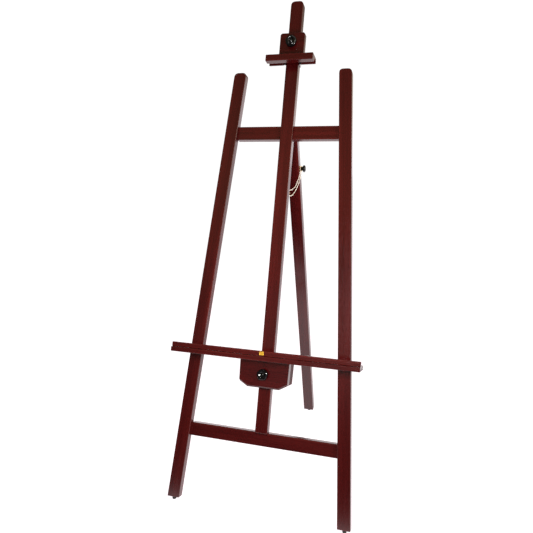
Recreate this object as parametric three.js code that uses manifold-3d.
// A-frame artist easel in stained hardwood: two splayed front legs and a mast, a folding rear leg,
// a canvas shelf and a top canvas holder that slide on the mast, each clamped by a knob.
// Millimetres. +Z up, the artist stands on the -Y side, +X is to the right seen from the front.
// The origin is on the floor, at the middle of the footprint.
import * as THREE from "three";
import { mergeVertices } from "three/addons/utils/BufferGeometryUtils.js";
import Module from "manifold-3d";

const wasm = await Module();
wasm.setup();

// ---- driving dimensions ----
const LEAN = THREE.MathUtils.degToRad(18.5); // the front frame leans back from the vertical
const SPREAD = THREE.MathUtils.degToRad(30.5); // between the front frame and the rear leg
const FLOOR_CENTRE = 380.5; // the origin, behind the line where the front faces meet the floor
const FACE = 44; // width of the leg and mast stock
const STOCK = 25; // thickness of the leg, mast and bar stock
const FIT = 0.3; // gap between pieces that touch
const SLIDE = 0.7; // gap between a sliding piece and the mast

const LEG_TOP = 1520; // up the frame from the floor line
const LEG_CUT = 15;
const LEG_FOOT_X = 305; // leg centre line at the floor line and at the top
const LEG_TOP_X = 187;
const TOP_ROUND = 15;
const MAST_TOP = 1762;

const BAR_HEIGHT = 46;
const BAR_SETBACK = 12.5; // the bars' faces lie behind the legs' faces
const UPPER_BAR = 1286; // the bars' lower edges
const LOWER_BAR = 235;
const DOWEL = { radius: 5, length: 50 };

const SHELF_LENGTH = 649;
const LEDGE = { bottom: 531.3, thickness: 16, front: -70 };
const LIP = { height: 16, thickness: 12, front: -63 };
const BLOCK = { top: 531, shoulder: 453, bottom: 436.5, thickness: 25 };
const BLOCK_HALF = { top: 86.5, shoulder: 84.5, bottom: 56 };
const BACK_PLATE = 9.5;
const SHELF_KNOB_UP = 483;

const HOLDER = { bottom: 1546, top: 1640, half: 43.5, thickness: 20 };
const HOLDER_LIP = { bottom: 1536, height: 22, depth: 21.5, half: 82.5 };
const HOLDER_WING = 10; // height of the lip's two wings, which run back beside the block
const HOLDER_CHEEK = { bottom: 1540, top: 1557.7, thickness: 5, inner: 31 };
const STRAP = { bottom: 1542.5, top: 1557.5, thickness: 2.5 };
const HOLDER_KNOB_UP = 1603;

const KNOB = { radius: 19, thickness: 15, lobes: 5, lobeDepth: 3.2, hub: 9 };
const STUD_RADIUS = 4;
const INSERT_RADIUS = 6;

const PIN = { up: 1336, back: 42.5, radius: 1.7 };
const KNUCKLE = 4;
const HINGE_HALF = 21;
const LEAF = { height: 26, thickness: 1.6 };
const REAR_OFFSET = 2.3; // from the hinge pin's axis to the rear leg's front face
const REAR_TOP = 8; // from the pin down to the rear leg's top end
const REAR_LENGTH = 1276; // from the pin down to the rear leg's foot
const STAY_DOWN = 145; // from the pin down to the stay bolt

const EYE = { x: 15.5, up: 1106, back: 33, radius: 5, wire: 1 };
const CORD_DIAMETER = 2.8;
const GLIDE_RADIUS = 7;

// ---- materials ----
function finish(color, roughness, metalness = 0) {
  return new THREE.MeshStandardMaterial({ color, roughness, metalness });
}
const mahogany = finish(0x551c19, 0.35);
const darkBirch = finish(0x8a6a48, 0.7);
const blackPlastic = finish(0x0c0d0e, 0.25);
const blackRubber = finish(0x161616, 0.8);
const brass = finish(0xd3ad5a, 0.3, 1);
const steel = finish(0x8f9194, 0.4, 1);
const cream = finish(0xe9dfc6, 0.9);

// ---- solids ----
function solid(geometry) {
  const bare = geometry.index ? geometry.toNonIndexed() : geometry.clone();
  bare.deleteAttribute("normal");
  bare.deleteAttribute("uv");
  const merged = mergeVertices(bare, 1e-3);
  const mesh = new wasm.Mesh({
    numProp: 3,
    vertProperties: new Float32Array(merged.attributes.position.array),
    triVerts: new Uint32Array(merged.index.array),
  });
  return new wasm.Manifold(mesh);
}

function geometryOf(manifold) {
  const mesh = manifold.getMesh();
  const geometry = new THREE.BufferGeometry();
  const positions = new THREE.BufferAttribute(new Float32Array(mesh.vertProperties), 3);
  geometry.setAttribute("position", positions);
  geometry.setIndex(new THREE.BufferAttribute(new Uint32Array(mesh.triVerts), 1));
  geometry.computeVertexNormals();
  return geometry;
}

function cut(geometry, ...tools) {
  return geometryOf(tools.reduce((body, tool) => body.subtract(solid(tool)), solid(geometry)));
}

function join(...geometries) {
  return geometryOf(geometries.map(solid).reduce((body, next) => body.add(next)));
}

// A group's own axes are x across, y back through the thickness and z up the face.
function box(x0, x1, y0, y1, z0, z1) {
  const geometry = new THREE.BoxGeometry(x1 - x0, y1 - y0, z1 - z0);
  return geometry.translate((x0 + x1) / 2, (y0 + y1) / 2, (z0 + z1) / 2);
}

// A board cut to an outline of across and up, with its front face at y = front.
function board(shape, front, thickness) {
  const geometry = new THREE.ExtrudeGeometry(shape, {
    depth: thickness,
    bevelEnabled: false,
    curveSegments: 5,
  });
  return geometry.rotateX(Math.PI / 2).translate(0, front + thickness, 0);
}

function outline(points) {
  return new THREE.Shape(points.map(([x, y]) => new THREE.Vector2(x, y)));
}

// A cylinder between two points.
function rod(radius, from, to, sides = 16) {
  const start = new THREE.Vector3(...from);
  const along = new THREE.Vector3(...to).sub(start);
  const geometry = new THREE.CylinderGeometry(radius, radius, along.length(), sides);
  geometry.translate(0, along.length() / 2, 0);
  return aimed(geometry, start, along);
}

// Turns a shape made about the Y axis to point along a direction, with its own zero at a point.
function aimed(geometry, at, direction) {
  const turn = new THREE.Quaternion().setFromUnitVectors(
    new THREE.Vector3(0, 1, 0),
    direction.clone().normalize(),
  );
  return geometry.applyQuaternion(turn).translate(at.x, at.y, at.z);
}

// A turned piece whose profile is a list of radius and height, from its lower end up to its top.
function turned(profile, at, direction, sides = 24) {
  const points = profile.map(([r, h]) => new THREE.Vector2(r, h));
  const geometry = new THREE.LatheGeometry(points, sides);
  return aimed(geometry, new THREE.Vector3(...at), new THREE.Vector3(...direction));
}

// A round-head wood screw; at is where its head seats and out points away from the wood.
function screwGeometry(at, out, length, shank = 1.8, head = 3.8) {
  const profile = [
    [0, -length],
    [shank, -length + 2 * shank],
    [shank, 0],
    [head, 0],
    [head, 0.6],
    [head * 0.7, 1.9],
    [0, 2.4],
  ];
  return turned(profile, at, out, 14);
}

function screwHole(at, out, length, shank = 1.8) {
  const from = new THREE.Vector3(...at);
  const way = new THREE.Vector3(...out);
  const deep = from.clone().addScaledVector(way, -length - FIT);
  const clear = from.clone().addScaledVector(way, 5);
  return rod(shank + FIT, deep.toArray(), clear.toArray(), 14);
}

function piece(parent, name, geometry, material) {
  const mesh = new THREE.Mesh(geometry, material);
  mesh.name = name;
  parent.add(mesh);
}

// ---- outlines ----
function legCentre(up) {
  return LEG_FOOT_X + ((LEG_TOP_X - LEG_FOOT_X) * up) / LEG_TOP;
}

const LEG_SLOPE = Math.hypot(1, (LEG_FOOT_X - LEG_TOP_X) / LEG_TOP);
const LEG_HALF = (FACE / 2) * LEG_SLOPE; // measured level across the splayed leg

function legOutline(side) {
  const shape = new THREE.Shape();
  const foot = side * legCentre(LEG_CUT);
  const top = side * legCentre(LEG_TOP);
  shape.moveTo(foot - LEG_HALF, LEG_CUT);
  shape.lineTo(foot + LEG_HALF, LEG_CUT);
  shape.lineTo(side * legCentre(LEG_TOP - TOP_ROUND) + LEG_HALF, LEG_TOP - TOP_ROUND);
  shape.quadraticCurveTo(top + LEG_HALF, LEG_TOP, top + LEG_HALF - TOP_ROUND, LEG_TOP);
  shape.lineTo(top - LEG_HALF + TOP_ROUND, LEG_TOP);
  shape.quadraticCurveTo(
    top - LEG_HALF,
    LEG_TOP,
    side * legCentre(LEG_TOP - TOP_ROUND) - LEG_HALF,
    LEG_TOP - TOP_ROUND,
  );
  return shape;
}

function mastOutline(bottom) {
  const half = FACE / 2;
  const shape = new THREE.Shape();
  shape.moveTo(-half, bottom);
  shape.lineTo(half, bottom);
  shape.lineTo(half, MAST_TOP - TOP_ROUND);
  shape.quadraticCurveTo(half, MAST_TOP, half - TOP_ROUND, MAST_TOP);
  shape.lineTo(-half + TOP_ROUND, MAST_TOP);
  shape.quadraticCurveTo(-half, MAST_TOP, -half, MAST_TOP - TOP_ROUND);
  return shape;
}

function barOutline(bottom) {
  const low = legCentre(bottom) - LEG_HALF - FIT;
  const high = legCentre(bottom + BAR_HEIGHT) - LEG_HALF - FIT;
  return outline([
    [-low, bottom],
    [low, bottom],
    [high, bottom + BAR_HEIGHT],
    [-high, bottom + BAR_HEIGHT],
  ]);
}

// ---- front frame ----
const BAR_BACK = BAR_SETBACK + STOCK;
const TENON = { half: 14, depth: 18, front: BAR_SETBACK + 3 };
const MAST_SCREWS = [-10, 10].map((x) => [x, BAR_BACK + FIT, UPPER_BAR + 9]);
const MAST_SCREW_LENGTH = 33;
const LEAF_FRONT = BAR_BACK + FIT;
const FIXED_LEAF_SCREWS = [-17, 17].map((x) => [x, LEAF_FRONT + LEAF.thickness + FIT, PIN.up - 16]);
const BACKWARD = [0, 1, 0];

function dowelRod(side, barBottom, clearance) {
  const up = barBottom + BAR_HEIGHT / 2;
  const joint = legCentre(up) - LEG_HALF;
  const depth = (BAR_SETBACK + STOCK) / 2;
  const inner = side * (joint - 0.6 * DOWEL.length - clearance);
  const outer = side * (joint + 0.4 * DOWEL.length + clearance);
  return rod(DOWEL.radius + clearance, [inner, depth, up], [outer, depth, up]);
}

function addLegs(frame) {
  for (const [word, side] of [
    ["left", -1],
    ["right", 1],
  ]) {
    const leg = board(legOutline(side), 0, STOCK);
    const holes = [UPPER_BAR, LOWER_BAR].map((bar) => dowelRod(side, bar, FIT));
    piece(frame, word + "_leg", cut(leg, ...holes), mahogany);
  }
}

function addBars(frame) {
  const upper = board(barOutline(UPPER_BAR), BAR_SETBACK, STOCK);
  const lower = board(barOutline(LOWER_BAR), BAR_SETBACK, STOCK);
  const sides = [-1, 1];
  const top = LOWER_BAR + BAR_HEIGHT;
  const mortise = box(
    -TENON.half - FIT,
    TENON.half + FIT,
    TENON.front,
    STOCK + FIT,
    top - TENON.depth - FIT,
    top + 1,
  );
  piece(
    frame,
    "upper_crossbar",
    cut(
      upper,
      ...sides.map((side) => dowelRod(side, UPPER_BAR, FIT)),
      ...MAST_SCREWS.map((at) => screwHole(at, BACKWARD, MAST_SCREW_LENGTH)),
      ...FIXED_LEAF_SCREWS.map((at) => screwHole(at, BACKWARD, 18)),
    ),
    mahogany,
  );
  piece(
    frame,
    "lower_crossbar",
    cut(lower, ...sides.map((side) => dowelRod(side, LOWER_BAR, FIT)), mortise),
    mahogany,
  );
  for (const [word, side] of [
    ["left", -1],
    ["right", 1],
  ]) {
    piece(frame, "upper_dowel_" + word, dowelRod(side, UPPER_BAR, 0), darkBirch);
    piece(frame, "lower_dowel_" + word, dowelRod(side, LOWER_BAR, 0), darkBirch);
  }
}

function addMast(frame) {
  const foot = LOWER_BAR + BAR_HEIGHT + FIT;
  const body = board(mastOutline(foot), 0, STOCK);
  const tenonFront = TENON.front + FIT;
  const tenon = box(-TENON.half, TENON.half, tenonFront, STOCK, foot - TENON.depth, foot + 5);
  const lap = box(
    -FACE,
    FACE,
    BAR_SETBACK - FIT,
    STOCK + 1,
    UPPER_BAR - FIT,
    UPPER_BAR + BAR_HEIGHT + FIT,
  );
  const eyeHole = rod(EYE.wire + FIT, [EYE.x, 12, EYE.up], [EYE.x, STOCK + 1, EYE.up], 12);
  const tools = MAST_SCREWS.map((at) => screwHole(at, BACKWARD, MAST_SCREW_LENGTH));
  const mast = join(body, tenon);
  piece(frame, "mast", cut(mast, lap, eyeHole, ...tools), mahogany);
  MAST_SCREWS.forEach((at, i) => {
    piece(frame, "mast_screw_" + (i + 1), screwGeometry(at, BACKWARD, MAST_SCREW_LENGTH), steel);
  });
}

function addScrewEye(frame) {
  const ring = new THREE.TorusGeometry(EYE.radius, EYE.wire, 8, 20);
  ring.translate(EYE.x, EYE.back, EYE.up);
  const neck = EYE.back - EYE.radius;
  const shank = rod(EYE.wire, [EYE.x, 13, EYE.up], [EYE.x, neck, EYE.up], 12);
  piece(frame, "screw_eye", join(ring, shank), brass);
}

function knucklePart(x0, x1) {
  return rod(KNUCKLE, [x0, 0, 0], [x1, 0, 0], 20);
}

function pinHole() {
  const far = HINGE_HALF + 5;
  return rod(PIN.radius + FIT, [-far, 0, 0], [far, 0, 0], 14);
}

const MIDDLE_KNUCKLE = 7;

function addFixedHinge(frame) {
  const hinge = new THREE.Group();
  hinge.position.set(0, PIN.back, PIN.up);
  frame.add(hinge);
  const face = LEAF_FRONT - PIN.back;
  const leaf = box(-HINGE_HALF, HINGE_HALF, face, face + LEAF.thickness, -LEAF.height - 4, 1.5);
  const inner = MIDDLE_KNUCKLE + FIT;
  const slot = box(-inner, inner, face - 1, KNUCKLE + 1, -KNUCKLE - 1.5, KNUCKLE + 1);
  const holes = FIXED_LEAF_SCREWS.map(([x, y, z]) =>
    screwHole([x, y - PIN.back, z - PIN.up], BACKWARD, 18),
  );
  const knuckles = join(leaf, knucklePart(-HINGE_HALF, HINGE_HALF));
  piece(hinge, "hinge_leaf_fixed", cut(knuckles, slot, pinHole(), ...holes), brass);
  const pin = rod(PIN.radius, [-HINGE_HALF - 1, 0, 0], [HINGE_HALF + 1, 0, 0], 14);
  piece(hinge, "hinge_pin", pin, steel);
  FIXED_LEAF_SCREWS.forEach((at, i) => {
    piece(frame, "hinge_screw_bar_" + (i + 1), screwGeometry(at, BACKWARD, 18), brass);
  });
}

// A rubber glide: a short upright cylinder cut to the slope of the foot above it.
function glideGeometry(x, y, footPlane) {
  const stub = rod(GLIDE_RADIUS, [x, y, 0], [x, y, 30], 20);
  return geometryOf(solid(stub).subtract(footPlane));
}

// Everything above a foot's cut, in the object's own frame.
function aboveFoot(matrix, y0, y1, z0) {
  const slab = box(-400, 400, y0, y1, z0 - FIT, z0 + 80);
  return solid(slab.applyMatrix4(matrix));
}

// ---- rear leg ----
const REAR_BACK = REAR_OFFSET + STOCK;
const LEG_LEAF_SCREWS = [-8.5, 8.5].map((x) => [x, 0.4 - FIT, -17]);
const FORWARD = [0, -1, 0];
const STAY_BOLT = { depth: REAR_OFFSET + STOCK / 2, radius: 2.5, washer: 10, washerThickness: 1.2 };
const CORD_SLOT = CORD_DIAMETER + 2 * FIT;

function addRearLeg(leg) {
  const half = FACE / 2;
  const body = box(-half, half, REAR_OFFSET, REAR_BACK, -REAR_LENGTH, -REAR_TOP);
  const boltHole = rod(
    STAY_BOLT.radius + FIT,
    [2, STAY_BOLT.depth, -STAY_DOWN],
    [half + 1, STAY_BOLT.depth, -STAY_DOWN],
  );
  const holes = LEG_LEAF_SCREWS.map((at) => screwHole(at, FORWARD, 18));
  piece(leg, "rear_leg", cut(body, boltHole, ...holes), mahogany);

  const leafBack = REAR_OFFSET - FIT;
  const leafFront = leafBack - LEAF.thickness;
  const leaf = box(-HINGE_HALF, HINGE_HALF, leafFront, leafBack, -LEAF.height, -KNUCKLE - 1);
  const arm = box(-MIDDLE_KNUCKLE, MIDDLE_KNUCKLE, leafFront, leafBack, -KNUCKLE - 2, 0);
  const knuckle = knucklePart(-MIDDLE_KNUCKLE, MIDDLE_KNUCKLE);
  const leafHoles = LEG_LEAF_SCREWS.map((at) => screwHole(at, FORWARD, 18));
  piece(leg, "hinge_leaf_leg", cut(join(leaf, arm, knuckle), pinHole(), ...leafHoles), brass);
  LEG_LEAF_SCREWS.forEach((at, i) => {
    piece(leg, "hinge_screw_leg_" + (i + 1), screwGeometry(at, FORWARD, 18), brass);
  });
}

// The stay bolt stands out of the leg's right side and carries two washers and the stay knob.
function addStayClamp(leg) {
  const half = FACE / 2;
  const at = (x) => [x, STAY_BOLT.depth, -STAY_DOWN];
  const inner = half + FIT;
  const outer = inner + STAY_BOLT.washerThickness + CORD_SLOT;
  const knobStart = outer + STAY_BOLT.washerThickness + FIT;
  piece(leg, "stay_bolt", rod(STAY_BOLT.radius, at(3), at(knobStart + 9)), steel);
  for (const [name, start] of [
    ["stay_washer_inner", inner],
    ["stay_washer_outer", outer],
  ]) {
    const disc = rod(STAY_BOLT.washer, at(start), at(start + STAY_BOLT.washerThickness), 28);
    const hole = rod(STAY_BOLT.radius + FIT, at(start - 1), at(start + 3));
    piece(leg, name, cut(disc, hole), brass);
  }
  const profile = [
    [0, 10],
    [STAY_BOLT.radius + FIT, 10],
    [STAY_BOLT.radius + FIT, 0],
    [7, 0],
    [7.5, 3],
    [12.4, 7.5],
    [12.8, 9.5],
    [11, 12.6],
    [6, 15],
    [0, 15.6],
  ];
  piece(leg, "stay_knob", turned(profile, at(knobStart), [1, 0, 0], 28), blackPlastic);
}

// ---- knobs of the shelf and the holder ----
function lobedKnob(front, up) {
  const shape = new THREE.Shape();
  const steps = 14 * KNOB.lobes;
  const rim = 2;
  for (let i = 0; i < steps; i += 1) {
    const angle = (2 * Math.PI * i) / steps;
    const dip = (KNOB.lobeDepth * (1 - Math.cos(KNOB.lobes * angle))) / 2;
    const radius = KNOB.radius - rim - dip;
    const x = radius * Math.sin(angle);
    const y = radius * Math.cos(angle);
    if (i === 0) shape.moveTo(x, y);
    else shape.lineTo(x, y);
  }
  const grip = new THREE.ExtrudeGeometry(shape, {
    depth: KNOB.thickness - 2 * rim,
    bevelThickness: rim,
    bevelSize: rim,
    bevelSegments: 2,
  });
  grip.rotateX(Math.PI / 2).translate(0, front + KNOB.thickness - rim, up);
  const neckEnd = front + KNOB.thickness + 4;
  const neck = rod(KNOB.hub, [0, front + 4, up], [0, neckEnd, up], 24);
  const threaded = rod(STUD_RADIUS + FIT, [0, neckEnd - 10, up], [0, neckEnd + 1, up], 16);
  return cut(join(grip, neck), threaded);
}

function studOf(front, up) {
  const start = front + KNOB.thickness - 5;
  return rod(STUD_RADIUS, [0, start, up], [0, -FIT, up], 16);
}

function studHole(up) {
  return rod(INSERT_RADIUS + FIT, [0, -60, up], [0, 5, up], 24);
}

function insertOf(front, back, up) {
  const sleeve = rod(INSERT_RADIUS, [0, front, up], [0, back, up], 24);
  const thread = rod(STUD_RADIUS + FIT, [0, front - 1, up], [0, back + 1, up], 16);
  return cut(sleeve, thread);
}

// ---- shelf carriage ----
function blockOutline(inner) {
  const { top, shoulder, bottom } = BLOCK;
  const right = [
    [BLOCK_HALF.bottom, bottom],
    [BLOCK_HALF.shoulder, shoulder],
    [BLOCK_HALF.top, top],
  ];
  if (inner) return outline([[inner, bottom], ...right, [inner, top]]);
  const left = right.map(([x, up]) => [-x, up]).reverse();
  return outline([...right, ...left]);
}

const BLOCK_FRONT = -SLIDE - BLOCK.thickness;
const CHEEK_INNER = FACE / 2 + SLIDE;
const CHEEK_BACK = STOCK + SLIDE;
const PLATE_FRONT = CHEEK_BACK + FIT;
const PLATE_BACK = PLATE_FRONT + BACK_PLATE;
const PLATE_SCREWS = [
  [-50, 505],
  [50, 505],
  [-50, 460],
  [50, 460],
].map(([x, up]) => [x, PLATE_BACK + FIT, up]);
const PLATE_SCREW_LENGTH = 45;
const LEDGE_SCREWS = [-60, 60].map((x) => [x, -13, LEDGE.bottom + LEDGE.thickness + FIT]);
const LEDGE_SCREW_LENGTH = 40;
const UP = [0, 0, 1];

function addShelf(shelf) {
  const half = SHELF_LENGTH / 2;
  const ledgeTop = LEDGE.bottom + LEDGE.thickness;
  const plateHoles = PLATE_SCREWS.map((at) => screwHole(at, BACKWARD, PLATE_SCREW_LENGTH));
  const ledgeHoles = LEDGE_SCREWS.map((at) => screwHole(at, UP, LEDGE_SCREW_LENGTH));
  const ledge = box(-half, half, LEDGE.front, -SLIDE, LEDGE.bottom, ledgeTop);
  piece(shelf, "shelf_ledge", cut(ledge, ...ledgeHoles), mahogany);

  const lipBottom = ledgeTop + FIT;
  const lip = box(-half, half, LIP.front, LIP.front + LIP.thickness, lipBottom, lipBottom + LIP.height);
  piece(shelf, "shelf_lip", lip, mahogany);
  const labelMiddle = lipBottom + LIP.height / 2;
  const label = box(-7.5, 7.5, LIP.front - 1.2, LIP.front - FIT, labelMiddle - 6, labelMiddle + 6);
  piece(shelf, "label_plate", label, brass);

  const block = board(blockOutline(), BLOCK_FRONT, BLOCK.thickness);
  piece(shelf, "shelf_block", cut(block, studHole(SHELF_KNOB_UP), ...plateHoles, ...ledgeHoles), mahogany);
  const insert = insertOf(BLOCK_FRONT + 4, -SLIDE, SHELF_KNOB_UP);
  piece(shelf, "shelf_insert", insert, brass);

  const cheekFront = -SLIDE + FIT;
  const cheek = board(blockOutline(CHEEK_INNER), cheekFront, CHEEK_BACK - cheekFront);
  const right = cut(cheek, ...plateHoles);
  const left = right.clone().rotateZ(Math.PI).translate(0, cheekFront + CHEEK_BACK, 0);
  piece(shelf, "shelf_cheek_right", right, mahogany);
  piece(shelf, "shelf_cheek_left", left, mahogany);
  const plate = board(blockOutline(), PLATE_FRONT, BACK_PLATE);
  piece(shelf, "shelf_back_plate", cut(plate, ...plateHoles), mahogany);
  PLATE_SCREWS.forEach((at, i) => {
    piece(shelf, "plate_screw_" + (i + 1), screwGeometry(at, BACKWARD, PLATE_SCREW_LENGTH), steel);
  });
  LEDGE_SCREWS.forEach((at, i) => {
    piece(shelf, "ledge_screw_" + (i + 1), screwGeometry(at, UP, LEDGE_SCREW_LENGTH), steel);
  });
}

// ---- top canvas holder ----
const HOLDER_FRONT = -SLIDE - HOLDER.thickness;
const HOLDER_LIP_BACK = HOLDER_FRONT - FIT;
const STRAP_IN = STOCK + SLIDE;
const CHEEK_FRONT = -SLIDE + FIT;
const HOLDER_CHEEK_BACK = CHEEK_FRONT + HOLDER_CHEEK.thickness;
const STRAP_FACE = HOLDER_CHEEK_BACK + FIT + STRAP.thickness;
const STRAP_SCREWS = [-37, 37].map((x) => [x, STRAP_FACE + FIT, 1551]);
const STRAP_SCREW_LENGTH = 24;
const HOLDER_LIP_SCREWS = [-20, 20].map((x) => [x, -SLIDE - 5, HOLDER.bottom + 6]);
const HOLDER_LIP_SCREW_LENGTH = 32;

function holderBlockOutline() {
  const corner = 5;
  const { half, top, bottom } = HOLDER;
  return outline([
    [-half, bottom],
    [half, bottom],
    [half, top - corner],
    [half - corner, top],
    [-half + corner, top],
    [-half, top - corner],
  ]);
}

// A steel hat section that passes behind the mast and lies on the backs of both cheeks.
function strapGeometry() {
  const inside = FACE / 2 + SLIDE;
  const t = STRAP.thickness;
  const low = HOLDER_CHEEK_BACK + FIT;
  const points = [
    [-48, low],
    [-inside, low],
    [-inside, STRAP_IN],
    [inside, STRAP_IN],
    [inside, low],
    [48, low],
    [48, low + t],
    [inside + t, low + t],
    [inside + t, STRAP_IN + t],
    [-inside - t, STRAP_IN + t],
    [-inside - t, low + t],
    [-48, low + t],
  ];
  const section = new THREE.ExtrudeGeometry(outline(points), {
    depth: STRAP.top - STRAP.bottom,
    bevelEnabled: false,
  });
  return section.translate(0, 0, STRAP.bottom);
}

function addHolder(holder) {
  const lipHoles = HOLDER_LIP_SCREWS.map((at) => screwHole(at, BACKWARD, HOLDER_LIP_SCREW_LENGTH));
  const strapHoles = STRAP_SCREWS.map((at) => screwHole(at, BACKWARD, STRAP_SCREW_LENGTH));
  const headPockets = HOLDER_LIP_SCREWS.map(([x, y, up]) => rod(4.3, [x, y - FIT, up], [x, 3, up], 16));
  const block = board(holderBlockOutline(), HOLDER_FRONT, HOLDER.thickness);
  const tools = [studHole(HOLDER_KNOB_UP), ...lipHoles, ...headPockets, ...strapHoles];
  piece(holder, "holder_block", cut(block, ...tools), mahogany);
  const insert = insertOf(HOLDER_FRONT + 3, -SLIDE, HOLDER_KNOB_UP);
  piece(holder, "holder_insert", insert, brass);

  const lipFront = HOLDER_LIP_BACK - HOLDER_LIP.depth;
  const { half, bottom, height } = HOLDER_LIP;
  const top = bottom + height;
  const bar = box(-half, half, lipFront, HOLDER_LIP_BACK, bottom, top);
  const wings = [-1, 1].map((side) => {
    const [x0, x1] = [side * (HOLDER.half + FIT), side * half].sort((a, b) => a - b);
    return box(x0, x1, HOLDER_LIP_BACK - 1, -SLIDE, top - HOLDER_WING, top);
  });
  piece(holder, "holder_lip", cut(join(bar, ...wings), ...lipHoles), mahogany);

  for (const [word, side] of [
    ["left", -1],
    ["right", 1],
  ]) {
    const [x0, x1] = [side * HOLDER_CHEEK.inner, side * half].sort((a, b) => a - b);
    const cheek = box(x0, x1, CHEEK_FRONT, HOLDER_CHEEK_BACK, HOLDER_CHEEK.bottom, HOLDER_CHEEK.top);
    piece(holder, "holder_cheek_" + word, cut(cheek, ...strapHoles), mahogany);
  }
  piece(holder, "holder_strap", cut(strapGeometry(), ...strapHoles), steel);
  STRAP_SCREWS.forEach((at, i) => {
    piece(holder, "strap_screw_" + (i + 1), screwGeometry(at, BACKWARD, STRAP_SCREW_LENGTH), steel);
  });
  HOLDER_LIP_SCREWS.forEach((at, i) => {
    const screw = screwGeometry(at, BACKWARD, HOLDER_LIP_SCREW_LENGTH);
    piece(holder, "holder_lip_screw_" + (i + 1), screw, steel);
  });
}

// ---- stay cord ----
// One cord folded through the screw eye, both its ends held between the washers of the stay bolt.
const CORD_ROUTE = [
  [25.2, 132.9, 1120],
  [25.2, 132.9, 1111],
  [25.2, 131, 1099],
  [25.2, 126, 1087],
  [24, 119, 1075.5],
  [22, 110.5, 1063.5],
  [19.6, 97.5, 1050],
  [18, 81.5, 1040],
  [17, 64.5, 1032.5],
  [16.6, 46.5, 1028.2],
  [16.4, 29.5, 1026.6],
  [16, 15.5, 1027.6],
  [15.7, 6, 1031],
  [15.5, 1.9, 1037.6],
  [15.6, 5.7, 1044.4],
  [16, 14.5, 1046.6],
  [16.3, 27.5, 1046.4],
  [16.6, 45.5, 1047],
  [16.8, 64.5, 1050],
  [17.4, 81.5, 1055.5],
  [18.8, 97.5, 1065],
  [20.8, 108, 1077],
  [23.6, 115, 1090],
  [25.1, 120, 1102],
  [25.2, 123.3, 1112],
  [25.2, 123.3, 1120],
];

function addCord(root) {
  const points = CORD_ROUTE.map(([x, y, z]) => new THREE.Vector3(x, y, z));
  const path = new THREE.CatmullRomCurve3(points, false, "centripetal");
  const section = new THREE.Shape();
  const sides = 8;
  for (let i = 0; i < sides; i += 1) {
    const angle = (2 * Math.PI * i) / sides;
    const x = (CORD_DIAMETER / 2) * Math.cos(angle);
    const y = (CORD_DIAMETER / 2) * Math.sin(angle);
    if (i === 0) section.moveTo(x, y);
    else section.lineTo(x, y);
  }
  const tube = new THREE.ExtrudeGeometry(section, { steps: 76, extrudePath: path, bevelEnabled: false });
  piece(root, "stay_cord", tube, cream);
}

// ---- assembly ----
const easel = new THREE.Group();
easel.position.y = -FLOOR_CENTRE;

const frame = new THREE.Group();
frame.rotation.x = -LEAN;
easel.add(frame);
addLegs(frame);
addBars(frame);
addMast(frame);
addScrewEye(frame);
addFixedHinge(frame);

const rearLeg = new THREE.Group();
rearLeg.position.set(0, PIN.back, PIN.up);
rearLeg.rotation.x = SPREAD;
frame.add(rearLeg);
addRearLeg(rearLeg);
addStayClamp(rearLeg);

addShelf(frame);
const SHELF_KNOB_FRONT = BLOCK_FRONT - KNOB.thickness - 5;
piece(frame, "shelf_knob", lobedKnob(SHELF_KNOB_FRONT, SHELF_KNOB_UP), blackPlastic);
piece(frame, "shelf_knob_stud", studOf(SHELF_KNOB_FRONT, SHELF_KNOB_UP), steel);

addHolder(frame);
const HOLDER_KNOB_FRONT = HOLDER_FRONT - KNOB.thickness - 5;
piece(frame, "holder_knob", lobedKnob(HOLDER_KNOB_FRONT, HOLDER_KNOB_UP), blackPlastic);
piece(frame, "holder_knob_stud", studOf(HOLDER_KNOB_FRONT, HOLDER_KNOB_UP), steel);

// Each glide stands upright on the floor under the middle of its foot.
frame.updateMatrix();
rearLeg.updateMatrix();
const frontMatrix = frame.matrix;
const rearMatrix = frontMatrix.clone().multiply(rearLeg.matrix);
const frontFoot = new THREE.Vector3(0, STOCK / 2, LEG_CUT).applyMatrix4(frontMatrix);
const rearFoot = new THREE.Vector3(0, REAR_OFFSET + STOCK / 2, -REAR_LENGTH).applyMatrix4(rearMatrix);
for (const [word, side] of [
  ["left", -1],
  ["right", 1],
]) {
  const foot = aboveFoot(frontMatrix, -40, STOCK + 40, LEG_CUT);
  const glide = glideGeometry(side * legCentre(0), frontFoot.y, foot);
  piece(easel, word + "_leg_glide", glide, blackRubber);
}
const rearCut = aboveFoot(rearMatrix, -40, STOCK + 40, -REAR_LENGTH);
piece(easel, "rear_leg_glide", glideGeometry(0, rearFoot.y, rearCut), blackRubber);

const part = new THREE.Group();
part.add(easel);
addCord(part);

export default part;
